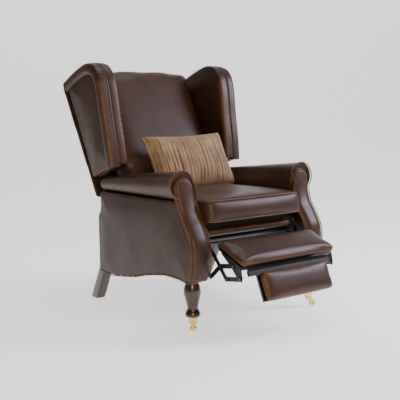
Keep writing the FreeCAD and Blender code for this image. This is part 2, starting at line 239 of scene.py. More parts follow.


# %% [markdown]
# ### Leather
# Upholstery hide is dyed, then waxed by hand: the colour drifts over hand-sized patches. The grain is 2 mm
# cells, drawn at 3 mm so that it shows. A value painted on the mesh mixes in tan along edges and seams:
# partly scuffing where hands and knees touch, partly painted highlight where those edges catch the light.

# %% Leather
def leather(name, deep, mid, worn_and_highlit_tan, roughness):
    material, tree, shader = new_material(name)
    place = node(tree, "ShaderNodeTexCoord")
    spot = (place, "Object")
    patches = node(tree, "ShaderNodeTexNoise", Vector=spot, Scale=7.0, Detail=5.0, Roughness=0.6)
    hide = ramp(tree, (patches, "Fac"), [(0.32, deep), (0.68, mid)])
    # Painted highlight mixed with scuffing: the value read here tints edges and seams tan.
    wear = node(tree, "ShaderNodeAttribute", {"attribute_name": "wear"})
    scuff = node(tree, "ShaderNodeTexNoise", Vector=spot, Scale=38.0, Detail=6.0, Roughness=0.7)
    rub_and_highlight = node(tree, "ShaderNodeMath", {"operation": "MULTIPLY"}, i0=(wear, "Fac"), i1=(scuff, "Fac"))
    rubbed_and_highlit = node(tree, "ShaderNodeMix", {"data_type": "RGBA"}, i0=(rub_and_highlight, 0), i6=(hide, 0), i7=linear(worn_and_highlit_tan))
    grain = node(tree, "ShaderNodeTexVoronoi", {"feature": "DISTANCE_TO_EDGE"}, Vector=spot, Scale=330.0)
    flat = node(tree, "ShaderNodeMath", {"operation": "MINIMUM"}, i0=(grain, "Distance"), i1=0.25)
    crease = node(tree, "ShaderNodeTexNoise", Vector=spot, Scale=60.0, Detail=6.0, Roughness=0.65)
    height = node(tree, "ShaderNodeMath", {"operation": "MULTIPLY_ADD"},
                  i0=(flat, 0), i1=0.9, i2=(crease, "Fac"))
    bump = node(tree, "ShaderNodeBump", Height=(height, 0), Strength=0.28, Distance=0.0012)
    gloss = node(tree, "ShaderNodeMapRange", Value=(patches, "Fac"))
    set_values(gloss, To_Min=roughness + 0.08, To_Max=roughness - 0.08)
    feed(tree, shader, Base_Color=(rubbed_and_highlit, 2), Normal=(bump, 0), Roughness=(gloss, 0))
    set_values(shader, IOR=1.43, Specular_IOR_Level=0.38, Coat_Weight=0.06, Coat_Roughness=0.3)
    return material


hide = leather("waxed_brown_hide", "#2a1a11", "#3e281a", "#855d3b", 0.4)
# The welt hide is a little lighter: scuffed cords, and painted highlight on their raised tops.
hide_welt = leather("rubbed_and_highlit_hide_welt", "#2b1b11", "#442c1b", "#8a623e", 0.41)
print("leather mixed")

# %% [markdown]
# ### Wood, brass, steel and cloth
# The legs are mahogany under gloss lacquer, the castors polished brass, the linkage black powder-coat,
# the boards black-stained plywood and the loose cushion a golden needlecord.

# %% Hard materials
def lacquered_wood(name, dark, light, coat):
    material, tree, shader = new_material(name)
    place = node(tree, "ShaderNodeTexCoord")
    along = node(tree, "ShaderNodeMapping", Vector=(place, "Object"))
    along.inputs["Scale"].default_value = (1, 1, 0.12)
    grain = node(tree, "ShaderNodeTexNoise", Vector=(along, 0), Scale=120.0, Detail=8.0, Distortion=1.2)
    colour = ramp(tree, (grain, "Fac"), [(0.35, dark), (0.68, light)])
    feed(tree, shader, Base_Color=(colour, 0))
    set_values(shader, Roughness=0.32, Coat_Weight=coat, Coat_Roughness=0.06)
    return material


def worn_metal(name, colour, dull, metallic, roughness):
    material, tree, shader = new_material(name)
    place = node(tree, "ShaderNodeTexCoord")
    smear = node(tree, "ShaderNodeTexNoise", Vector=(place, "Object"), Scale=90.0, Detail=4.0)
    tint = ramp(tree, (smear, "Fac"), [(0.3, dull), (0.6, colour)])
    gloss = node(tree, "ShaderNodeMapRange", Value=(smear, "Fac"))
    set_values(gloss, To_Min=roughness + 0.08, To_Max=roughness - 0.05)
    feed(tree, shader, Base_Color=(tint, 0), Roughness=(gloss, 0))
    set_values(shader, Metallic=metallic)
    return material


mahogany = lacquered_wood("lacquered_mahogany", "#140402", "#3c1209", 0.45)
stained_ply = lacquered_wood("black_stained_plywood", "#0b0c10", "#1b1d24", 0.25)
brass = worn_metal("polished_brass", "#f0d48a", "#d9b45e", 1.0, 0.16)
powder_coat = worn_metal("black_powder_coat", "#121214", "#0a0a0b", 0.0, 0.4)
bright_rivet = worn_metal("zinc_rivet_steel", "#6e6e70", "#4a4a4c", 1.0, 0.38)


# %% Cloth materials
def woven(name, dark, light, pitch):
    """Plain weave: two wave patterns cross, a thread is half of pitch wide."""
    material, tree, shader = new_material(name)
    place = node(tree, "ShaderNodeTexCoord")
    spot = (place, "Object")
    warp = node(tree, "ShaderNodeTexWave", {"bands_direction": "X"}, Vector=spot, Scale=0.314 / pitch)
    weft = node(tree, "ShaderNodeTexWave", {"bands_direction": "Z"}, Vector=spot, Scale=0.314 / pitch)
    cross = node(tree, "ShaderNodeMath", {"operation": "MULTIPLY"}, i0=(warp, "Fac"), i1=(weft, "Fac"))
    patches = node(tree, "ShaderNodeTexNoise", Vector=spot, Scale=14.0, Detail=5.0)
    mix = node(tree, "ShaderNodeMath", {"operation": "MULTIPLY_ADD"},
               i0=(cross, 0), i1=0.35, i2=(patches, "Fac"))
    colour = ramp(tree, (mix, 0), [(0.35, dark), (0.85, light)])
    bump = node(tree, "ShaderNodeBump", Height=(cross, 0), Strength=0.3, Distance=0.0006)
    feed(tree, shader, Base_Color=(colour, 0), Normal=(bump, 0))
    set_values(shader, Roughness=0.85, Sheen_Weight=0.1, Sheen_Roughness=0.4)
    return material


webbing = woven("elastic_webbing", "#1b1815", "#38322b", 0.002)
base_cloth = woven("black_base_cloth", "#0c0b0a", "#1d1b19", 0.0015)
print(len(bpy.data.materials), "materials so far")

# %% [markdown]
# ## Upholstery tools
# Foam and hide are made alike all over the chair: cut an outline, give it thickness, round its edges,
# remesh it into even cells, blow it up a little as cloth, then pull in the seams and lay welts on them.

# %% Outlines and slabs
PLANES = {"XZ": (0, 2, 1), "YZ": (1, 2, 0), "XY": (0, 1, 2)}
LEAN = math.radians(26)
PAD_TILT = math.radians(22.5)
FLAP_FOLD = math.radians(45)
HINGE_ON_PAD = Vector((0, 17.7, -50)) * MM


def spline(points, step):
    """Smooth line through a few points, sampled every step (a Catmull-Rom curve)."""
    points = [Vector(p) for p in points]
    ends = [2 * points[0] - points[1], *points, 2 * points[-1] - points[-2]]
    line = []
    for a, b, c, d in zip(ends, ends[1:], ends[2:], ends[3:]):
        count = max(2, round((c - b).length / step))
        for i in range(count):
            t = i / count
            line.append(0.5 * (2 * b + (c - a) * t + (2 * a - 5 * b + 4 * c - d) * t ** 2
                               + (3 * b - a - 3 * c + d) * t ** 3))
    return line + [points[-1]]


def height_on(points, value):
    """First coordinate of a smooth line at a given second coordinate."""
    line = spline(points, 0.004)
    for p, q in zip(line, line[1:]):
        if p.y <= value <= q.y:
            return p.x + (q.x - p.x) * (value - p.y) / max(q.y - p.y, 1e-9)
    return line[0].x if value < line[0].y else line[-1].x


def rounded(corners, radius, steps=6):
    """Closed outline with each corner turned into an arc."""
    outline = []
    for before, corner, after in zip([corners[-1], *corners[:-1]], corners, [*corners[1:], corners[0]]):
        corner = Vector(corner)
        into = (Vector(before) - corner)
        out = (Vector(after) - corner)
        reach = min(radius, into.length * 0.45, out.length * 0.45)
        start = corner + into.normalized() * reach
        end = corner + out.normalized() * reach
        for i in range(steps + 1):
            t = i / steps
            outline.append(start * (1 - t) ** 2 + corner * 2 * t * (1 - t) + end * t ** 2)
    return outline


def rounded_box(low, high, radius, steps=6):
    """Outline of a rectangle between two corners, with round corners."""
    (p, q), (r, s) = low, high
    return rounded([(p, q), (r, q), (r, s), (p, s)], radius, steps)


def bell(distance, reach):
    """1 at no distance, falling smoothly to nothing past about twice the reach."""
    return math.exp(-(distance / reach) ** 2)


def slab(points, low, high, plane="XZ", edge=0.0, segments=3):
    """A plate cut to an outline in one plane, from low to high across it, with rounded rims."""
    a, b, c = PLANES[plane]
    bm = bmesh.new()
    ring = []
    for p, q in points:
        place = [0.0, 0.0, 0.0]
        place[a], place[b], place[c] = p, q, low
        ring.append(bm.verts.new(place))
    face = bm.faces.new(ring)
    grown = bmesh.ops.extrude_face_region(bm, geom=[face])["geom"]
    shift = [0.0, 0.0, 0.0]
    shift[c] = high - low
    bmesh.ops.translate(bm, vec=shift, verts=[g for g in grown if isinstance(g, bmesh.types.BMVert)])
    open_rim = [e for e in bm.edges if e.is_boundary]
    if open_rim:
        bmesh.ops.holes_fill(bm, edges=open_rim, sides=0)
    if edge:
        rims = [e for e in bm.edges if abs(e.verts[0].co[c] - e.verts[1].co[c]) < 1e-7]
        bmesh.ops.bevel(bm, geom=rims, offset=edge, segments=segments, profile=0.5,
                        affect="EDGES", material=-1, clamp_overlap=True)
    return bm


def on_plane(points, level, plane="XZ"):
    """Outline points as places in space, at a level across the plane."""
    a, b, c = PLANES[plane]
    places = []
    for p, q in points:
        place = [0.0, 0.0, 0.0]
        place[a], place[b], place[c] = p, q, level
        places.append(Vector(place))
    return places


# %% Remesh, plump and finish
def bake(obj):
    """Applies an object's modifiers."""
    graph = bpy.context.evaluated_depsgraph_get()
    graph.update()
    mesh = bpy.data.meshes.new_from_object(obj.evaluated_get(graph))
    obj.modifiers.clear()
    obj.data = mesh
    return obj


def relax(obj, times):
    """Evens out the small creases that a simulation leaves."""
    bm = bmesh.new()
    bm.from_mesh(obj.data)
    for _ in range(times):
        bmesh.ops.smooth_vert(bm, verts=bm.verts, factor=0.5,
                              use_axis_x=True, use_axis_y=True, use_axis_z=True)
    bm.to_mesh(obj.data)
    bm.free()
    return obj


def remesh(obj, cell, smooth=2):
    modifier = obj.modifiers.new("even_cells", "REMESH")
    modifier.mode = "VOXEL"
    modifier.voxel_size = cell
    bake(obj)
    return relax(obj, smooth)


def plump(obj, pressure, cap, pinned, frames=20):
    """Cloth simulation under pressure. Pinned points are sewn down, none moves further than cap."""
    rest = [v.co.copy() for v in obj.data.vertices]
    group = obj.vertex_groups.new(name="sewn")
    held = [i for i, co in enumerate(rest) if pinned(co)]
    group.add(held, 1.0, "REPLACE")
    cloth = obj.modifiers.new("plump", "CLOTH")
    cloth.settings.vertex_group_mass = "sewn"
    cloth.settings.use_pressure = True
    cloth.settings.uniform_pressure_force = pressure
    cloth.settings.effector_weights.gravity = 0.0
    cloth.settings.tension_stiffness = 12.0
    cloth.settings.compression_stiffness = 12.0
    cloth.settings.bending_stiffness = 0.6
    cloth.settings.quality = 4
    for number in range(1, frames + 1):
        scene.frame_set(number)
    graph = bpy.context.evaluated_depsgraph_get()
    swollen = [v.co.copy() for v in obj.evaluated_get(graph).data.vertices]
    obj.modifiers.clear()
    scene.frame_set(1)
    for vertex, start, end in zip(obj.data.vertices, rest, swollen):
        move = end - start
        held_back = move.normalized() * cap * math.tanh(move.length / cap)
        vertex.co = start + held_back if move.length > 1e-9 else start
    obj.vertex_groups.clear()
    return obj


def shape(obj, rule):
    """Moves every vertex by a rule: place and normal in, place out."""
    normals = [v.normal.copy() for v in obj.data.vertices]
    for vertex, normal in zip(obj.data.vertices, normals):
        vertex.co = rule(vertex.co.copy(), normal)
    obj.data.update()
    return obj


def place(obj, matrix):
    obj.data.transform(matrix)
    if matrix.determinant() < 0:
        obj.data.flip_normals()
    obj.data.update()
    return obj


def subdivide(obj):
    modifier = obj.modifiers.new("smooth_skin", "SUBSURF")
    modifier.levels = 1
    modifier.render_levels = 1
    bake(obj)
    obj.data.shade_smooth()
    return obj


def distance_to(points):
    """A function that gives the distance from a place to the nearest of the points."""
    tree = KDTree(len(points))
    for i, point in enumerate(points):
        tree.insert(point, i)
    tree.balance()
    return lambda co: tree.find(co)[2]


def pull_seam(obj, line, depth, reach):
    """Draws the skin in along a sewn line."""
    away = distance_to(line)
    return shape(obj, lambda co, normal: co - normal * depth * bell(away(co), reach))


def paint(obj, name, values):
    """Stores one number a vertex, for a material to read."""
    layer = obj.data.attributes.new(name, "FLOAT", "POINT")
    layer.data.foreach_set("value", values)


def paint_wear_and_highlight(obj, lines, reach, strength=1.0, base=0.0):
    """Stores how far the hide is tinted tan, as scuffing and painted highlight: most along the given lines.
    """
    away = distance_to([p for line in lines for p in line])
    paint(obj, "wear", [base + strength * bell(away(v.co), reach) for v in obj.data.vertices])


def upholster(obj, body, fill, *nodes):
    """Covers a padded piece in hide, for a body and the CAD nodes that it stands for."""
    dress(obj, hide, body, "leather", *nodes)


def drawn_onto(obj, line, lift):
    """Moves a line onto the nearest skin of a piece, standing lift proud of it."""
    graph = bpy.context.evaluated_depsgraph_get()
    tree = BVHTree.FromObject(obj, graph)
    found = []
    for point in line:
        spot, normal, _, _ = tree.find_nearest(point)
        found.append(spot + normal * lift)
    return found


def even(line, step, closed=False):
    """The same line with evenly spaced points."""
    points = [Vector(p) for p in line] + ([Vector(line[0])] if closed else [])
    spaced = [points[0]]
    left = step
    for a, b in zip(points, points[1:]):
        length = (b - a).length
        while length > left:
            spaced.append(a.lerp(b, left / length))
            a, length, left = spaced[-1], length - left, step
        left -= length
    if closed and (spaced[-1] - spaced[0]).length < step * 0.6:
        spaced.pop()
    return spaced


def welt(name, line, radius, material, body, closed=False):
    """Piping: a thin cord covered in hide, sewn into a seam."""
    curve = bpy.data.curves.new(name, "CURVE")
    curve.dimensions = "3D"
    curve.bevel_depth = radius
    curve.bevel_resolution = 3
    curve.use_fill_caps = True
    strand = curve.splines.new("POLY")
    strand.points.add(len(line) - 1)
    for point, co in zip(strand.points, line):
        point.co = (*co, 1)
    strand.use_cyclic_u = closed
    obj = bpy.data.objects.new(name, curve)
    scene.collection.objects.link(obj)
    graph = bpy.context.evaluated_depsgraph_get()
    mesh = bpy.data.meshes.new_from_object(obj.evaluated_get(graph))
    bpy.data.objects.remove(obj)
    bm = bmesh.new()
    bm.from_mesh(mesh)
    bmesh.ops.remove_doubles(bm, verts=bm.verts, dist=1e-6)
    piping = add_object(name, bm)
    # Every welt is tinted partly tan, as scuffing and painted highlight on the round cord.
    paint(piping, "wear", [0.45] * len(piping.data.vertices))
    return dress(piping, material, body, "leather")


# %% Places of the moving parts
def spot_of(joint):
    return Vector(joints[joint]["pos_m"])


BACK = Matrix.Translation(spot_of("back_recline")) @ Matrix.Rotation(-LEAN, 4, "X")
PAD_TURN = Matrix.Rotation(PAD_TILT, 4, "X")
PAD = Matrix.Translation(spot_of("flap_hinge")) @ PAD_TURN @ Matrix.Translation(-HINGE_ON_PAD)
FLAP = (Matrix.Translation(spot_of("flap_hinge")) @ PAD_TURN @ Matrix.Rotation(FLAP_FOLD, 4, "X")
        @ Matrix.Translation(-HINGE_ON_PAD))
FLIP = Matrix.Scale(-1, 4, (1, 0, 0))
SIDES = (("right", Matrix.Identity(4)), ("left", FLIP))


# %% [markdown]
# ## Seat cushion
# A loose box cushion: a crowned top, a front border that leans forward at its foot, and a welt round
# its top and bottom. The welts hold still while the foam swells, so they are pinned in the simulation.

# %% Seat cushion
WELT_R = 2.8 * MM
low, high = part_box("seat_cushion")
slope = 16 * MM
seat_outline = rounded_box((low.x + 2 * MM, low.y + slope), (high.x - 2 * MM, high.y - 6 * MM), 0.034, 8)
seat_top = high.z - 6 * MM
seat_foot = low.z + 5 * MM


def seat_lean(co):
    """The front border stands further forward at its foot."""
    share = min(1, max(0, (seat_top - co.z) / (seat_top - seat_foot)))
    front = min(1, max(0, (0.0 - co.y) / 0.3))
    return Vector((co.x, co.y - slope * share * front ** 2, co.z))


seat = add_object("seat_cushion_hide", slab(seat_outline, seat_foot, seat_top, "XY", 7 * MM))
remesh(seat, 6 * MM)


def crowned(co, normal):
    """Foam is cut with a crown, and its front border bulges before any hide is on."""
    u = min(1, abs(co.x) / high.x)
    v = min(1, abs(co.y - (low.y + high.y) / 2) / ((high.y - low.y) / 2))
    rise = 15 * MM * (1 - u ** 3) * (1 - v ** 3) if co.z > seat_top - 4 * MM else 0
    level = (co.z - seat_foot) / (seat_top - seat_foot)
    bulge = 9 * MM * (1 - u ** 4) * max(0, 1 - (2 * level - 1) ** 2) if co.y < low.y + 0.05 else 0
    return seat_lean(co + Vector((0, -bulge, rise)))


shape(seat, crowned)
top_seam = [seat_lean(p) for p in even(on_plane(seat_outline, seat_top - 2 * MM, "XY"), 8 * MM, True)]
foot_seam = [seat_lean(p) for p in even(on_plane(seat_outline, seat_foot + 2 * MM, "XY"), 8 * MM, True)]
from_seam = distance_to(top_seam + foot_seam)
plump(seat, 6.0, 24 * MM, lambda co: from_seam(co) < 7 * MM)
relax(seat, 3)


def between_arms(co, normal):
    """The arms squeeze the cushion flat at its sides, and the deck under it."""
    limit = 243.2 * MM
    return Vector((max(-limit, min(limit, co.x)), min(co.y, high.y + 1 * MM), max(co.z, low.z)))


shape(seat, between_arms)
subdivide(seat)
pull_seam(seat, top_seam + foot_seam, 2.5 * MM, 7 * MM)
paint_wear_and_highlight(seat, [foot_seam], 8 * MM, 0.5, 0.06)
upholster(seat, "base", 0.8, "seat_cushion")
welt("seat_welt_top", drawn_onto(seat, top_seam, 1.2 * MM), WELT_R, hide_welt, "base", True)
welt("seat_welt_foot", drawn_onto(seat, foot_seam, 1.2 * MM), WELT_R, hide_welt, "base", True)
print("seat cushion", len(seat.data.vertices), "vertices")

# %% [markdown]
# ## Back
# The inside back is one tall pad with a soft crown and a gentle arch at its head. Behind it a thin
# outside back closes the frame from wing to wing.

# %% Inside back
def back_outline(inset):
    side_low = 236 * MM - inset
    side = 268 * MM - inset
    foot = -26 * MM + inset
    crest = 646 * MM - inset
    corners = [(-side_low, foot), (side_low, foot), (side_low, 0.135), (side, 0.165), (side, crest - 0.012),
               (0.12, crest + 0.012), (-0.12, crest + 0.012), (-side, crest - 0.012),
               (-side, 0.165), (-side_low, 0.135)]
    return rounded(corners, 0.045, 6)


pad = add_object("inside_back_hide", slab(back_outline(3 * MM), -142 * MM, -33 * MM, "XZ", 26 * MM, 5))
remesh(pad, 8 * MM)
plump(pad, 2.2, 18 * MM, lambda co: co.y > -50 * MM)
relax(pad, 24)


def behind_sitter(co, normal):
    """Side limits: arms below, wings above. The head keeps to a smooth arch, the foot to the deck."""
    limit = 237 * MM if co.z < 0.14 else min(272 * MM, 237 * MM + (co.z - 0.14) * 1.4)
    arch = 0.656 - 0.4 * co.x ** 2
    over = co.z - (arch - 24 * MM)
    height = co.z if over < 0 else arch - 24 * MM * math.exp(-over / (24 * MM))
    return Vector((max(-limit, min(limit, co.x)), co.y, max(height, -30 * MM)))


shape(pad, behind_sitter)
subdivide(pad)
paint_wear_and_highlight(pad, [on_plane(back_outline(20 * MM), -140 * MM)], 30 * MM, 0.35, 0.05)
place(pad, BACK)
upholster(pad, "back", 0.7, "back_pad")
print("inside back", len(pad.data.vertices))

# %% Outside back
half_outside = [(234, 34), (234, 66), (337, 66), (362, 628), (150, 646)]
both_halves = half_outside + [(-x, t) for x, t in reversed(half_outside)]
outside_outline = rounded([(x * MM, t * MM) for x, t in both_halves], 0.012, 6)
outside = add_object("outside_back_hide", slab(outside_outline, 2 * MM, 15 * MM, "XZ", 5 * MM))
remesh(outside, 8 * MM)
rim = even(on_plane(outside_outline, 9 * MM), 8 * MM, True)
from_rim = distance_to(rim)


def puffed_behind(co, normal):
    fullness = 1 - bell(from_rim(co), 0.06)
    return co + Vector((0, 9 * MM * fullness, 0)) if co.y > 8 * MM else co


shape(outside, puffed_behind)
paint_wear_and_highlight(outside, [rim], 6 * MM, 0.15)
place(outside, BACK)
upholster(outside, "back", 0.3, "outside_back")
rear_seam = even(on_plane([Vector(p) * 0.985 for p in outside_outline], 16 * MM), 8 * MM, True)
rear_seam = drawn_onto(outside, [BACK @ p for p in rear_seam], 0.8 * MM)
welt("outside_back_welt", rear_seam, WELT_R, hide_welt, "back", True)
print("outside back", len(outside.data.vertices))

# %% [markdown]
# ## Wings
# Each wing is a board padded on both faces and bound by a fat border: a boxed strip of hide that runs up
# the front edge, turns over the peak in small pleats and runs back to the crest. A sweep makes it: one
# ring of points is extruded step by step along the border's line.

# %% Sweep tool
def extrude_ring(bm, verts):
    """Extrudes a closed ring of vertices and returns the new ring, in the same order."""
    count = len(verts)
    edges = [bm.edges.get((verts[i], verts[(i + 1) % count])) for i in range(count)]
    grown = bmesh.ops.extrude_edge_only(bm, edges=edges)["geom"]
    new = {g for g in grown if isinstance(g, bmesh.types.BMVert)}
    return [next(e.other_vert(v) for e in v.link_edges if e.other_vert(v) in new) for v in verts]


def first_ring(bm, count):
    verts = [bm.verts.new((0, 0, 0)) for _ in range(count)]
    for i in range(count):
        bm.edges.new((verts[i], verts[(i + 1) % count]))
    return verts


def sweep(name, path, ring, side):
    """Extrudes a ring along a line. ring(share) gives (sideways, outwards) points; side is across."""
    bm = bmesh.new()
    verts = first_ring(bm, len(ring(0)))
    for number, point in enumerate(path):
        if number:
            verts = extrude_ring(bm, verts)
        along = (path[min(number + 1, len(path) - 1)] - path[max(number - 1, 0)]).normalized()
        out = along.cross(side).normalized()
        for vertex, (sideways, outwards) in zip(verts, ring(number / (len(path) - 1))):
            vertex.co = point + side * sideways + out * outwards
    bmesh.ops.holes_fill(bm, edges=[e for e in bm.edges if e.is_boundary], sides=0)
    return add_object(name, bm)


# %% Wing border
WING_IN = 270 * MM
WING_OUT = 356 * MM
WING_MID = (WING_IN + WING_OUT) / 2
WING = (BACK @ Matrix.Translation((WING_IN, 0, 126 * MM)) @ Matrix.Rotation(math.radians(2), 4, "Y")
        @ Matrix.Translation((-WING_IN, 0, -126 * MM)))
BORDER_HALF = 24 * MM
border_line = [(-0.188, 0.124), (-0.222, 0.220), (-0.254, 0.330), (-0.287, 0.430), (-0.299, 0.490),
               (-0.292, 0.532), (-0.263, 0.563), (-0.222, 0.583), (-0.130, 0.600), (-0.012, 0.612)]
smooth_line = spline([(*p, 0) for p in border_line], 0.01)
border_path = even([Vector((WING_MID, p.x, p.y)) for p in smooth_line], 4 * MM)


def border_ring(share):
    """A rounded box, gathered into pleats where it turns over the peak."""
    high_x = (WING_OUT - WING_IN) / 2
    corners = rounded_box((-14 * MM, -BORDER_HALF), (high_x, BORDER_HALF), 20 * MM, 7)
    gather = bell(share - 0.66, 0.13) + 0.55 * bell(share - 0.9, 0.12)
    fold = abs(math.sin(share * 118 * math.pi / 2)) ** 0.7 - 0.6
    swell = 1 + 0.085 * gather * fold
    flare = 1 + 0.05 * math.sin(share * math.pi)
    return [(p.x * flare, p.y * swell * flare) for p in corners]


def border_edge(stand_out):
    """Outline of the whole wing, as (y, z): the border's line moved outwards, closed at the foot."""
    outline = [Vector((-0.014, 0.150)), Vector((-0.110, 0.136))]
    for before, point, after in zip(border_path, border_path[3::3], border_path[6::3]):
        out = Vector((1, 0, 0)).cross(after - point).normalized()
        outline.append(Vector((point.y, point.z)) + Vector((out.y, out.z)) * stand_out)
    return outline


def wing_panel(name, outline, inner, outer, edge, fullness, outward):
    """A padded field, fuller at its middle."""
    obj = add_object(name, slab(outline, inner, outer, "YZ", edge, 5))
    remesh(obj, 7 * MM)
    middle = (inner + outer) / 2
    from_edge = distance_to(even(on_plane(outline, 0, "YZ"), 10 * MM, True))

    def swell(co, normal):
        if (co.x - middle) * outward < 0:
            return co
        rise = 1 - bell(from_edge(Vector((0, co.y, co.z))), 0.07)
        ripple = noise.noise(co * 9) * 1.5 * MM
        return co + Vector((outward * rise * (fullness + ripple), 0, 0))
    return shape(obj, swell)


GROOVE_X = 317 * MM
inner_outline = border_edge(BORDER_HALF + 2.5 * MM)
outer_outline = [Vector((-0.012, 0.155)), Vector((-0.10, 0.142))]
outer_outline += [Vector((q.y, q.z)) for q in even(border_path, 12 * MM)]
for side, flip in SIDES:
    border = sweep(f"wing_border_hide_{side}", border_path, border_ring, Vector((1, 0, 0)))
    subdivide(border)
    inner_pad = wing_panel(f"wing_inner_hide_{side}", inner_outline, 266 * MM, GROOVE_X, 19 * MM, 8 * MM, -1)
    outer_pad = wing_panel(f"wing_outer_hide_{side}", outer_outline, 316 * MM, 338 * MM, 4 * MM, 8 * MM, 1)
    front = [Vector((x, q.y - BORDER_HALF, q.z)) for q in border_path[:90] for x in (276 * MM, 350 * MM)]
    for piece, cad_node, fill in ((border, "wing_roll_", 0.8), (inner_pad, "wing_pad_", 0.7),
                                  (outer_pad, "wing_panel_", 0.4)):
        paint_wear_and_highlight(piece, [front], 13 * MM, 0.55)
        place(piece, flip @ WING)
        upholster(piece, "back", fill, cad_node + side)
    groove = [flip @ WING @ Vector((GROOVE_X - 1 * MM, q.x, q.y)) for q in inner_outline[2:]]
    welt(f"wing_welt_{side}", drawn_onto(border, groove, 0.4 * MM), 2.2 * MM, hide_welt, "back")
print("wings", len(border_path), "steps")

# %% [markdown]
# ## Arms
# A scroll arm is one hide pulled up the inside, over a tapering roll and tucked under it. Rings of points
# follow the arm from front to back. At the front the roll ends in a rim, and inside the rim lies the
# S-shaped front panel, which stands proud like a ribbon.

# %% Arm skins
FACE_LINE = [(360, 201), (372, 260), (376, 312), (367, 362), (340, 410),
             (313, 452), (297, 500), (288, 560), (284, 625)]
FACE_SAMPLES = [height_on([(s * MM, z * MM, 0) for s, z in FACE_LINE], z * MM) for z in range(140, 660, 2)]
ARM_IN = 244 * MM
ROLL_FRONT = Vector((309, 562)) * MM
ROLL_REAR = Vector((305, 538)) * MM
ARM_REAR_Y = 318 * MM + Y_SHIFT


def face_y(z):
    """Where the arm front stands at a height."""
    place_on = (z / MM - 140) / 2
    index = int(max(0, min(len(FACE_SAMPLES) - 2, place_on)))
    share = max(0, min(1, place_on - index))
    return -(FACE_SAMPLES[index] * (1 - share) + FACE_SAMPLES[index + 1] * share) + Y_SHIFT


def arm_ring(share):
    """Section of the arm from front (0) to back (1), as (x, z) points."""
    centre = ROLL_FRONT.lerp(ROLL_REAR, share)
    radius = centre.y - 506 * MM
    ring = [(262 * MM, 412 * MM), (ARM_IN + 3 * MM, 412 * MM)]
    ring += [(ARM_IN, z * MM) for z in (416, 450, 482)]
    lift = centre.y - radius * 0.25
    ring += [(ARM_IN + 1 * MM, lift - 14 * MM), (ARM_IN + 4 * MM, lift)]
    for degrees in range(160, -100, -10):
        turn = math.radians(degrees)
        ring.append((centre.x + radius * math.cos(turn), centre.y + radius * math.sin(turn)))
    ring.append((centre.x - radius * 0.45, 507 * MM))
    ring += [(x * MM, z * MM) for x, z in ((266, 504), (262, 480), (262, 440))]
    return [Vector(p) for p in ring]


def arm_skin(side, flip):
    bm = bmesh.new()
    verts = first_ring(bm, len(arm_ring(0)))
    stations = 34
    for number in range(stations + 1):
        share = number / stations
        if number:
            verts = extrude_ring(bm, verts)
        for vertex, p in zip(verts, arm_ring(share)):
            front = face_y(p.y) + 5 * MM
            ripple = noise.noise(Vector((p.x * 8, share * 9, p.y * 8))) * 1.6 * MM
            vertex.co = (p.x, front + (ARM_REAR_Y - front) * share, p.y + (ripple if p.y > 0.52 else 0))
        if number == 0:
            mouth = list(verts)
        if number == stations:
            tail = bm.faces.new(verts)
    cap = bm.faces.new(list(reversed(mouth)))
    bmesh.ops.inset_individual(bm, faces=[cap], thickness=9 * MM, depth=0, use_even_offset=True)
    bmesh.ops.translate(bm, vec=(0, 15 * MM, 0), verts=cap.verts)
    bmesh.ops.inset_individual(bm, faces=[cap], thickness=4 * MM, depth=0, use_even_offset=True)
    bmesh.ops.inset_individual(bm, faces=[tail], thickness=5 * MM, depth=-3 * MM, use_even_offset=True)
    skin = add_object(f"arm_hide_{side}", bm)
    subdivide(skin)
    rim_line = [Vector((p.x, face_y(p.y) + 5 * MM, p.y)) for p in arm_ring(0)]
    paint_wear_and_highlight(skin, [rim_line], 10 * MM, 0.7, 0.06)
    place(skin, flip)
    upholster(skin, "base", 0.7, f"arm_pad_{side}")
    rim_welt = [flip @ (p + Vector((0, -1 * MM, 0))) for p in even(rim_line[5:-4], 5 * MM)]
    welt(f"arm_rim_welt_{side}", rim_welt, 2.4 * MM, hide_welt, "base")
    return skin


for side, flip in SIDES:
    arm = arm_skin(side, flip)
print("arms", len(arm.data.vertices))

# %% [markdown]
# ### Arm fronts
# The front panel is a long ribbon of padded hide with a round head. It is cut flat, remeshed, plumped
# and then bent to the S of the arm.

# %% Ribbon fronts
def ribbon_outline(inset, head_radius):
    """Straight ribbon with a round head, as (x, z) points."""
    head = Vector((302 * MM, 551 * MM))
    inner = ARM_IN + inset
    outer = 343 * MM - inset
    outline = [Vector((inner + 6 * MM, 204 * MM)), Vector((outer - 6 * MM, 204 * MM))]
    outline += [Vector((outer, z * MM)) for z in (212, 300, 400, 470)]
    for degrees in range(-20, 201, 10):
        turn = math.radians(degrees)
        outline.append(head + Vector((math.cos(turn), math.sin(turn))) * head_radius)
    return outline + [Vector((inner, z * MM)) for z in (470, 400, 300, 212)]


def bent(co, normal=None):
    """Bends flat work to the arm front. Flat y 0 is its face, and smaller y stands prouder."""
    return Vector((co.x, face_y(co.z) + co.y, co.z))


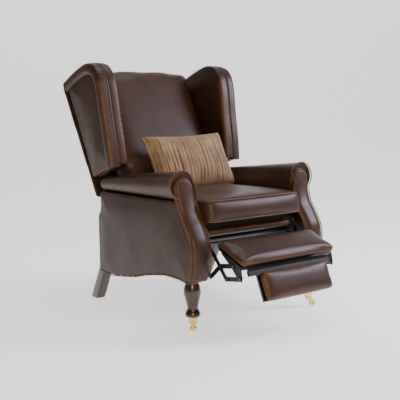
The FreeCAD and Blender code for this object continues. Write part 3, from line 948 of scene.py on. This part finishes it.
def arm_front(side, flip):
    plate_outline = ribbon_outline(2 * MM, 44 * MM)
    base_plate = add_object(f"arm_front_backing_{side}", slab(plate_outline, 7 * MM, 20 * MM, "XZ", 3 * MM))
    remesh(base_plate, 6 * MM, 1)
    shape(base_plate, bent)
    outline = ribbon_outline(10 * MM, 38 * MM)
    band = add_object(f"arm_front_ribbon_{side}", slab(outline, -1 * MM, 12 * MM, "XZ", 6 * MM, 4))
    remesh(band, 4.5 * MM)
    plump(band, 3.0, 6 * MM, lambda co: co.y > 6 * MM, frames=14)
    relax(band, 3)
    shape(band, bent)
    seam = [bent(p) for p in even(on_plane(outline, 6 * MM), 6 * MM, True)]
    paint_wear_and_highlight(band, [seam], 9 * MM, 0.5, 0.05)
    paint_wear_and_highlight(base_plate, [seam], 10 * MM, 0.2)
    edge = even(on_plane(ribbon_outline(3 * MM, 44 * MM), 6 * MM), 6 * MM, True)
    edge = [bent(p) for p in edge if p.z < 0.515]
    corner_lines = {"inner": [p for p in edge if p.x < 0.29 and p.z > 0.21],
                    "outer": [p for p in edge if p.x > 0.29 and p.z > 0.21]}
    for label, line in corner_lines.items():
        line.sort(key=lambda p: p.z)
        line = [flip @ (p + Vector((0, -2 * MM, 0))) for p in line]
        welt(f"arm_front_welt_{label}_{side}", line, 2.2 * MM, hide_welt, "base")
    welt(f"arm_ribbon_welt_{side}", [flip @ p for p in seam], 1.9 * MM, hide_welt, "base", True)
    for piece in (base_plate, band):
        place(piece, flip)
        upholster(piece, "base", 0.5)
    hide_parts(f"arm_facing_{side}")
    return band


for side, flip in SIDES:
    band = arm_front(side, flip)
print("arm fronts", len(band.data.vertices))

# %% [markdown]
# ## Outer sides
# The side panel hangs under the roll and its foot is cut in a slow wave between the legs.

# %% Side panels
WAVE = [(-345, 203), (-288, 210), (-230, 214), (-140, 203), (-50, 187),
        (30, 168), (110, 156), (190, 146), (260, 143), (352, 150)]
SIDE_IN = 325 * MM
SIDE_OUT = 342 * MM
SIDE_REAR = [(350, 250), (345, 395), (332, 412), (318, 426), (318, 480), (318, 505)]


def side_outline():
    foot = [Vector((p.x + Y_SHIFT, p.y)) for p in spline([(y * MM, z * MM, 0) for y, z in WAVE], 0.012)]
    rear = [Vector((y * MM + Y_SHIFT, z * MM)) for y, z in SIDE_REAR]
    top = [Vector((0.1, 0.505)), Vector((-0.1, 0.505))]
    front = [Vector((face_y(z * MM) + 4 * MM, z * MM)) for z in range(505, 205, -12)]
    return foot + rear + top + front


side_edge = even([Vector((0, p.x, p.y)) for p in side_outline()], 9 * MM, True)
from_side_edge = distance_to(side_edge)


def side_swell(co, normal):
    if co.x < 333 * MM:
        return co
    rise = 1 - bell(from_side_edge(Vector((0, co.y, co.z))), 0.05)
    return co + Vector((6 * MM * rise + noise.noise(co * 6) * 1.5 * MM * rise, 0, 0))


for side, flip in SIDES:
    panel = add_object(f"side_hide_{side}", slab(side_outline(), SIDE_IN, SIDE_OUT, "YZ", 5 * MM))
    remesh(panel, 7 * MM)
    shape(panel, side_swell)
    # The front and foot edges are tinted tan, as scuffing and painted highlight.
    rubbed_and_highlit_edge = [p + Vector((SIDE_OUT, 0, 0)) for p in side_edge if p.y < -0.2 or p.z < 0.2]
    paint_wear_and_highlight(panel, [rubbed_and_highlit_edge], 10 * MM, 0.45)
    place(panel, flip)
    upholster(panel, "base", 0.3, f"outer_side_panel_{side}")
    foot_line = [p for p in side_edge if p.z < 0.215 and -0.33 < p.y < 0.352]
    foot_line = [flip @ Vector((SIDE_OUT - 1 * MM, p.y, p.z)) for p in foot_line]
    welt(f"side_foot_welt_{side}", foot_line, 2.6 * MM, hide_welt, "base")
print("side panels", len(panel.data.vertices))

# %% Rear panel and front rail
low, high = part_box("rear_panel")
rear_outline = rounded_box((low.x, low.z), (high.x, high.z), 0.02)
rear_panel = add_object("rear_panel_hide", slab(rear_outline, low.y, high.y, "XZ", 3 * MM))
remesh(rear_panel, 7 * MM, 1)
paint_wear_and_highlight(rear_panel, [even(on_plane(rear_outline, high.y), 8 * MM, True)], 9 * MM, 0.3)
upholster(rear_panel, "base", 0.2, "rear_panel")

low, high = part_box("front_rail")
rail_outline = rounded_box((low.y, low.z), (high.y, high.z), 0.011)
rail = add_object("front_rail_hide", slab(rail_outline, low.x, high.x, "YZ", 6 * MM))
remesh(rail, 5 * MM)
paint_wear_and_highlight(rail, [[Vector((x * MM, low.y, high.z)) for x in range(-210, 211, 8)]], 12 * MM, 0.5)
upholster(rail, "base", 0.6, "front_rail")
print("rails", len(rail.data.vertices))

# %% [markdown]
# ## Footrest
# Two upholstered boards: a wide one for the calves and a narrow flap for the heels. Each is a slab of foam
# under hide that is pulled tight over rounded edges.

# %% Footrest pads
def leg_pad(name, half, start, length, body, frame_matrix, cad_node):
    outline = rounded_box((-half, -start - length), (half, -start), 16 * MM)
    obj = add_object(name, slab(outline, -34 * MM, -3 * MM, "XY", 10 * MM, 5))
    remesh(obj, 5 * MM)
    middle = -start - length / 2

    def crown(co, normal):
        fullness = (1 - (co.x / half) ** 4) * (1 - abs((co.y - middle) / length * 2) ** 3)
        return co + Vector((0, 0, 4 * MM * fullness)) if co.z > -8 * MM else co
    shape(obj, crown)
    plump(obj, 2.0, 6 * MM, lambda co: co.z < -26 * MM)
    relax(obj, 7)
    shape(obj, lambda co, normal: Vector((co.x, co.y, max(co.z, -34 * MM))))
    subdivide(obj)
    edge_line = even(on_plane(outline, -6 * MM, "XY"), 8 * MM, True)
    paint_wear_and_highlight(obj, [edge_line], 14 * MM, 0.4, 0.05)
    place(obj, frame_matrix)
    upholster(obj, body, 0.8, cad_node)
    return obj


calf_pad = leg_pad("footrest_hide", 234 * MM, -153 * MM, 153 * MM, "footrest", PAD, "footrest_pad")
heel_pad = leg_pad("flap_hide", 165 * MM, 8 * MM, 110 * MM, "flap", FLAP, "flap_pad")
print("footrest pads", len(calf_pad.data.vertices), len(heel_pad.data.vertices))

# %% [markdown]
# ### Cloth over the flap hinge
# A strip of black base cloth closes the gap at the hinge, so that nothing is caught in it. It runs from
# the footrest's edge to the flap's edge as they rest, and it is attached to neither body.

# %% Hinge cloth
CLOTH_HALF = 202 * MM
footrest_edge = PAD @ Vector((0, 10 * MM, -42 * MM))
flap_edge = FLAP @ Vector((0, 3 * MM, -43.2 * MM))
bm = bmesh.new()
strip_rows = []
for row in range(9):
    share = row / 8
    middle = footrest_edge.lerp(flap_edge, share) + Vector((0, 0, -2.5 * MM * math.sin(share * math.pi)))
    across = [Vector((CLOTH_HALF * (column / 30 - 1), 0, 0.3 * MM * math.sin(column * 1.7)))
              for column in range(61)]
    strip_rows.append([bm.verts.new(middle + step) for step in across])
for upper, lower in zip(strip_rows, strip_rows[1:]):
    for a, b, c, d in zip(upper, upper[1:], lower[1:], lower):
        bm.faces.new((a, b, c, d))
hinge_cloth = add_object("flap_hinge_cloth", bm)
thick = hinge_cloth.modifiers.new("thickness", "SOLIDIFY")
thick.thickness = 0.9 * MM
bake(hinge_cloth)
hinge_cloth.data.materials.append(base_cloth)
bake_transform(hinge_cloth)
print("hinge cloth", round((flap_edge - footrest_edge).length * 1000, 1), "mm deep")

# %% [markdown]
# ## Loose cushion
# Needlecord pleated in uneven tucks, filled with feather. The plump form with its four drawn-out ears is
# shaped first, a short cloth simulation lets the filling settle, and the tucks are pressed in afterwards and
# darkened with painted shade.

# %% Cord cloth and cushion
def needlecord(name, shade, golden, pale):
    material, tree, shader = new_material(name)
    mapped = node(tree, "ShaderNodeUVMap", {"uv_map": "cord"})
    rib = node(tree, "ShaderNodeTexWave", {"bands_direction": "X"},
               Vector=(mapped, 0), Scale=68.0, Distortion=1.5, Detail=3.0)
    fade = node(tree, "ShaderNodeTexNoise", Vector=(mapped, 0), Scale=9.0, Detail=5.0, Roughness=0.65)
    # Painted shade: a lower value, given in the tucks, darkens the cloth; a higher one makes it paler.
    tuck = node(tree, "ShaderNodeAttribute", {"attribute_name": "tuck"})
    depth = node(tree, "ShaderNodeMath", {"operation": "MULTIPLY_ADD"},
                 i0=(fade, "Fac"), i1=0.55, i2=(tuck, "Fac"))
    colour = ramp(tree, (depth, 0), [(0.22, shade), (0.62, golden), (1.0, pale)])
    bump = node(tree, "ShaderNodeBump", Height=(rib, "Fac"), Strength=0.35, Distance=0.001)
    feed(tree, shader, Base_Color=(colour, 0), Normal=(bump, 0))
    set_values(shader, Roughness=0.8, Sheen_Weight=0.35, Sheen_Roughness=0.35)
    return material


cord_cloth = needlecord("golden_needlecord", "#3b2b19", "#8a7050", "#d6c29e")
random.seed(7)
PILLOW_HALF = Vector((0.207, 0.129))
PILLOW_CENTRE = Vector((22 * MM, 140 * MM, 627 * MM))
pillow_outline = rounded_box(-PILLOW_HALF, PILLOW_HALF, 0.012)
pillow = add_object("lumbar_cushion_cord", slab(pillow_outline, -9 * MM, 9 * MM, "XZ", 4 * MM))
remesh(pillow, 6 * MM, 1)
flat_places = [v.co.copy() for v in pillow.data.vertices]


def feather_fill(co, normal):
    """Plump form of a pillow: thick at its middle, thin at its rim, sides drawn in between the ears."""
    u = co.x / PILLOW_HALF.x
    v = co.z / PILLOW_HALF.y
    thick = 60 * MM * max(0, 1 - u ** 4) ** 0.5 * max(0, 1 - v ** 4) ** 0.5
    draw_x = 1 - 0.075 * (1 - v * v) * u * u
    draw_z = 1 - (0.15 if v > 0 else 0.05) * (1 - u * u) * v * v
    return Vector((co.x * draw_x, math.copysign(thick + abs(co.y) * 0.6, co.y), co.z * draw_z))


shape(pillow, feather_fill)
plump(pillow, 3.0, 10 * MM, lambda co: abs(co.y) < 6 * MM, frames=12)
tucks = []
spot = -PILLOW_HALF.x
while spot < PILLOW_HALF.x:
    spot += random.uniform(11, 24) * MM
    tucks.append((spot, random.uniform(0.55, 1.0), random.uniform(-0.3, 0.3)))
tuck_shade_values = []
for vertex, flat in zip(pillow.data.vertices, flat_places):
    u = flat.x
    v = flat.z / PILLOW_HALF.y
    deepest = 0.0
    for at_x, strength, wander in tucks:
        path_x = at_x + wander * 0.014 * math.sin(v * 2.2 + at_x * 40)
        deepest = max(deepest, strength * bell(u - path_x, 2.6 * MM))
    rim_share = max(0, 1 - abs(v) ** 8)
    side = 1 if vertex.co.y > 0 else -1
    vertex.co.y -= side * 7 * MM * deepest * rim_share
    # Painted shade: the deeper the tuck, the darker its cloth.
    tuck_shade_values.append(0.42 - 0.42 * deepest * rim_share)
paint(pillow, "tuck", tuck_shade_values)
cord_map = pillow.data.uv_layers.new(name="cord")
for loop in pillow.data.loops:
    flat = flat_places[loop.vertex_index]
    cord_map.data[loop.index].uv = (flat.x + 0.3, flat.z + 0.3)
subdivide(pillow)
pillow_rim = [feather_fill(p, None) * 1.005 for p in even(on_plane(pillow_outline, 0), 7 * MM, True)]
PILLOW_LEAN = math.radians(27)
PILLOW_ROLL = math.radians(-1)
SETTLE = (Matrix.Translation(PILLOW_CENTRE) @ Matrix.Rotation(-PILLOW_LEAN, 4, "X")
          @ Matrix.Rotation(PILLOW_ROLL, 4, "Y"))
place(pillow, SETTLE)
dress(pillow, cord_cloth, "lumbar", "cushion_fabric", "lumbar_cushion")
pillow_rim = drawn_onto(pillow, [SETTLE @ p for p in pillow_rim], 0.5 * MM)
rim_cord = welt("lumbar_cushion_seam", pillow_rim, 2 * MM, cord_cloth, "lumbar", True)
# The rim cord is given a paler tone than the flat cloth.
paint(rim_cord, "tuck", [0.62] * len(rim_cord.data.vertices))
print("loose cushion", len(pillow.data.vertices), "vertices,", len(tucks), "tucks")

# %% [markdown]
# ## Legs and castors
# The front legs are turned on a lathe, so a spun profile is the true way to make them. The rear legs are
# sawn from square stock and raked back. Each castor is spun and cast brass: a cup that is screwed to the
# leg, a horn that swivels in it, and a small wheel on a riveted axle.

# %% Lathe work
def turned(name, profile, centre, axis=(0, 0, 1), start=(1, 0, 0), steps=48):
    """Spins a smooth profile of (radius, height) points in a full circle about an axis."""
    bm = bmesh.new()
    axis = Vector(axis)
    verts = [bm.verts.new(Vector(centre) + Vector(start) * r + axis * h) for r, h in profile]
    edges = [bm.edges.new(two) for two in zip(verts, verts[1:])]
    bmesh.ops.spin(bm, geom=verts + edges, cent=centre, axis=axis, angle=math.tau, steps=steps,
                   use_merge=True)
    bmesh.ops.remove_doubles(bm, verts=bm.verts, dist=1e-6)
    return add_object(name, bm)


def sharp_smooth(obj, degrees=35):
    obj.data.shade_smooth()
    obj.data.set_sharp_from_angle(angle=math.radians(degrees))
    return obj


LEG_PROFILE = [(0, 66), (19, 66), (25, 67), (28.6, 70), (29.8, 74.5), (28.8, 80), (26, 87), (22.6, 93),
               (21.2, 99), (21.2, 106), (22.6, 114), (25.4, 126), (28.8, 139), (32, 151), (33.4, 162),
               (32.6, 173), (30.2, 184), (28, 191), (26.8, 197), (26.5, 201), (0, 201)]
fine_profile = [(max(0, q.x) * MM, q.y * MM) for q in spline([(r, z, 0) for r, z in LEG_PROFILE], 1.6)]
REAR_LEG_IN = 281 * MM
REAR_LEG_OUT = 325 * MM
REAR_LEG = [(419, 0), (473, 0), (393, 132), (315, 262), (262, 262), (336, 140)]
rear_outline = [Vector((y * MM + Y_SHIFT, z * MM)) for y, z in REAR_LEG]
for side, flip in SIDES:
    leg_place = Vector((*spot_of(f"castor_swivel_{side}").xy, 0))
    leg = turned(f"front_leg_turned_{side}", fine_profile, leg_place)
    sharp_smooth(leg, 50)
    dress(leg, mahogany, "base", "mahogany", f"front_leg_{side}")
    rear = add_object(f"rear_leg_sawn_{side}", slab(rear_outline, REAR_LEG_IN, REAR_LEG_OUT, "YZ", 2.5 * MM))
    place(rear, flip)
    sharp_smooth(rear)
    dress(rear, mahogany, "base", "mahogany", f"rear_leg_{side}")
print("legs turned,", len(leg.data.vertices), "vertices each")

# %% Castors
CUP_PROFILE = [(0, 66), (19, 66), (20, 64.8), (19.8, 63), (18.6, 62.2), (18, 59.6), (15.6, 48), (15.4, 46.4),
               (16.4, 45.6), (16.4, 43.4), (15.2, 42.6), (14.4, 40.2), (13.6, 39), (6, 39), (6, 50), (0, 50)]
BOSS_PROFILE = [(0, 49), (5.4, 49), (5.4, 38.6), (10.6, 38.4), (12, 37.2), (12, 34), (11, 33), (0, 33)]
TREAD_HALF = [(3.1, 7.6), (5.4, 8), (6.6, 7.2), (8.4, 6.2), (12, 6.4), (14, 6.2), (15.1, 4.8), (15.5, 2.4)]
TREAD_PROFILE = TREAD_HALF + [(r, -h) for r, h in reversed(TREAD_HALF)] + TREAD_HALF[:1]
AXLE_HALF = [(0, 14.6), (2.6, 14.4), (4.4, 13.4), (4.9, 12), (3, 12)]
AXLE_PROFILE = AXLE_HALF + [(r, -h) for r, h in reversed(AXLE_HALF)]
HORN = [(-9, 37), (6, 37.5), (17, 33), (25, 23), (25.5, 13),
        (21, 8.5), (14, 9), (10, 16), (6, 27), (-9, 32.6)]
CHEEK_IN = 9 * MM
CHEEK_OUT = 12 * MM
HORN_CROWN = [(-9, 37), (6, 37.5), (16, 33.6), (6, 32.6), (-9, 32.6)]


def scaled(points):
    return [(a * MM, b * MM) for a, b in points]


def join(obj, others):
    """Puts other pieces' meshes into one object."""
    bm = bmesh.new()
    for other in (obj, *others):
        bm.from_mesh(other.data)
    for other in others:
        bpy.data.objects.remove(other)
    bm.to_mesh(obj.data)
    bm.free()
    return obj


for side, flip in SIDES:
    swivel = Vector((*spot_of(f"castor_swivel_{side}").xy, 0))
    hub = spot_of(f"castor_roll_{side}")
    heading = Vector((hub.x - swivel.x, hub.y - swivel.y, 0)).normalized()
    across = Vector((-heading.y, heading.x, 0))
    cup = turned(f"castor_cup_brass_{side}", scaled(CUP_PROFILE), swivel)
    boss = turned(f"castor_boss_{side}", scaled(BOSS_PROFILE), swivel)
    axle = turned(f"castor_axle_{side}", scaled(AXLE_PROFILE), hub, across, heading, 20)
    wheel = turned(f"castor_wheel_brass_{side}", scaled(TREAD_PROFILE), hub, across, heading)
    horn = add_object(f"castor_horn_{side}", slab(scaled(HORN), CHEEK_IN, CHEEK_OUT, "XZ", 0.8 * MM))
    other_cheek = add_object("cheek", slab(scaled(HORN), -CHEEK_OUT, -CHEEK_IN, "XZ", 0.8 * MM))
    crown = add_object("crown", slab(scaled(HORN_CROWN), -10 * MM, 10 * MM, "XZ", 0.6 * MM))
    turn = Matrix((heading, across, Vector((0, 0, 1)))).transposed().to_4x4()
    join(horn, [other_cheek, crown])
    place(horn, Matrix.Translation(swivel) @ turn)
    join(horn, [boss, axle])
    for piece, body, cad_node in ((cup, "base", "castor_cup_"), (horn, "castor_" + side, "castor_fork_"),
                                  (wheel, "wheel_" + side, "castor_wheel_")):
        sharp_smooth(piece)
        dress(piece, brass, body, "brass", cad_node + side)
print("castors cast")

# %% [markdown]
# ## Mechanism
# Pressed steel links ride on shouldered rivets. The links themselves are the CAD shapes under a black
# powder coat. The rivets' heads are added here: a domed one on the inner side of each pivot, and a flush
# one on the outer side of those that join two moving links.

# %% Rivets and the CAD parts' own materials
PIVOTS = {"O2": (305, 385, 235.3, "base"), "O1": (245, 336, 235.8, "base"),
          "P1": (412, 264, 232.6, "lift_link"), "V2": (450, 221, 232.6, "lift_link"),
          "V1": (352, 215, 232.6, "drive_link"), "Q1": (486, 275, 229.1, "carrier"),
          "Q2": (524, 232, 229.1, "guide")}
HEAD_PROFILE = [(0, 2.4), (2.4, 2.2), (4.6, 1.3), (5.8, 0), (0, 0)]
FLUSH_PROFILE = [(0, 0.35), (4.6, 0.35), (5.2, 0), (0, 0)]
for label, (s, z, inner_x, body) in PIVOTS.items():
    for side, flip in SIDES:
        sign = 1 if side == "right" else -1
        head = turned(f"rivet_{label}_{side}", scaled(HEAD_PROFILE),
                      Vector((sign * inner_x * MM, -s * MM + Y_SHIFT, z * MM)), (-sign, 0, 0), (0, 1, 0), 20)
        if body != "base":
            outer_x = 236.1 if body in ("carrier", "guide") else 239.6
            outer_end = Vector((sign * outer_x * MM, -s * MM + Y_SHIFT, z * MM))
            flush = turned("flush", scaled(FLUSH_PROFILE), outer_end, (sign, 0, 0), (0, 1, 0), 20)
            join(head, [flush])
        sharp_smooth(head)
        dress(head, bright_rivet, body, "black_steel")


def both(*names):
    """The left and the right node of each name."""
    return [f"{name}_{side}" for name in names for side, flip in SIDES]


LOOKS = {
    hide: both("side_board"),
    stained_ply: both("side_frame", "mechanism_cleat", "wing_board")
                 + ["rear_rail", "footrest_board", "flap_board", "back_board"],
    webbing: ["seat_webbing"],
    base_cloth: ["seat_deck", "seat_frame"],
    bright_rivet: ["plate_bolts", "recline_bolts", "flap_hinge_rod"],
    powder_coat: both("mechanism_plate") + ["lift_links", "drive_links", "drive_tube", "carrier_links",
                 "guide_links", "footrest_brackets", "flap_arms", "tie_rod", "recline_brackets"],
}
for material, names in LOOKS.items():
    for name in names:
        for slot in frame["nodes"][name].material_slots:
            slot.material = material
print(sum(len(names) for names in LOOKS.values()), "CAD nodes finished")

# %% Size and finish
visual_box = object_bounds()
for label, a, b in zip("XYZ", zip(*cad_box), zip(*visual_box)):
    print(label, "CAD", [round(v, 3) for v in a], "visual", [round(v, 3) for v in b])
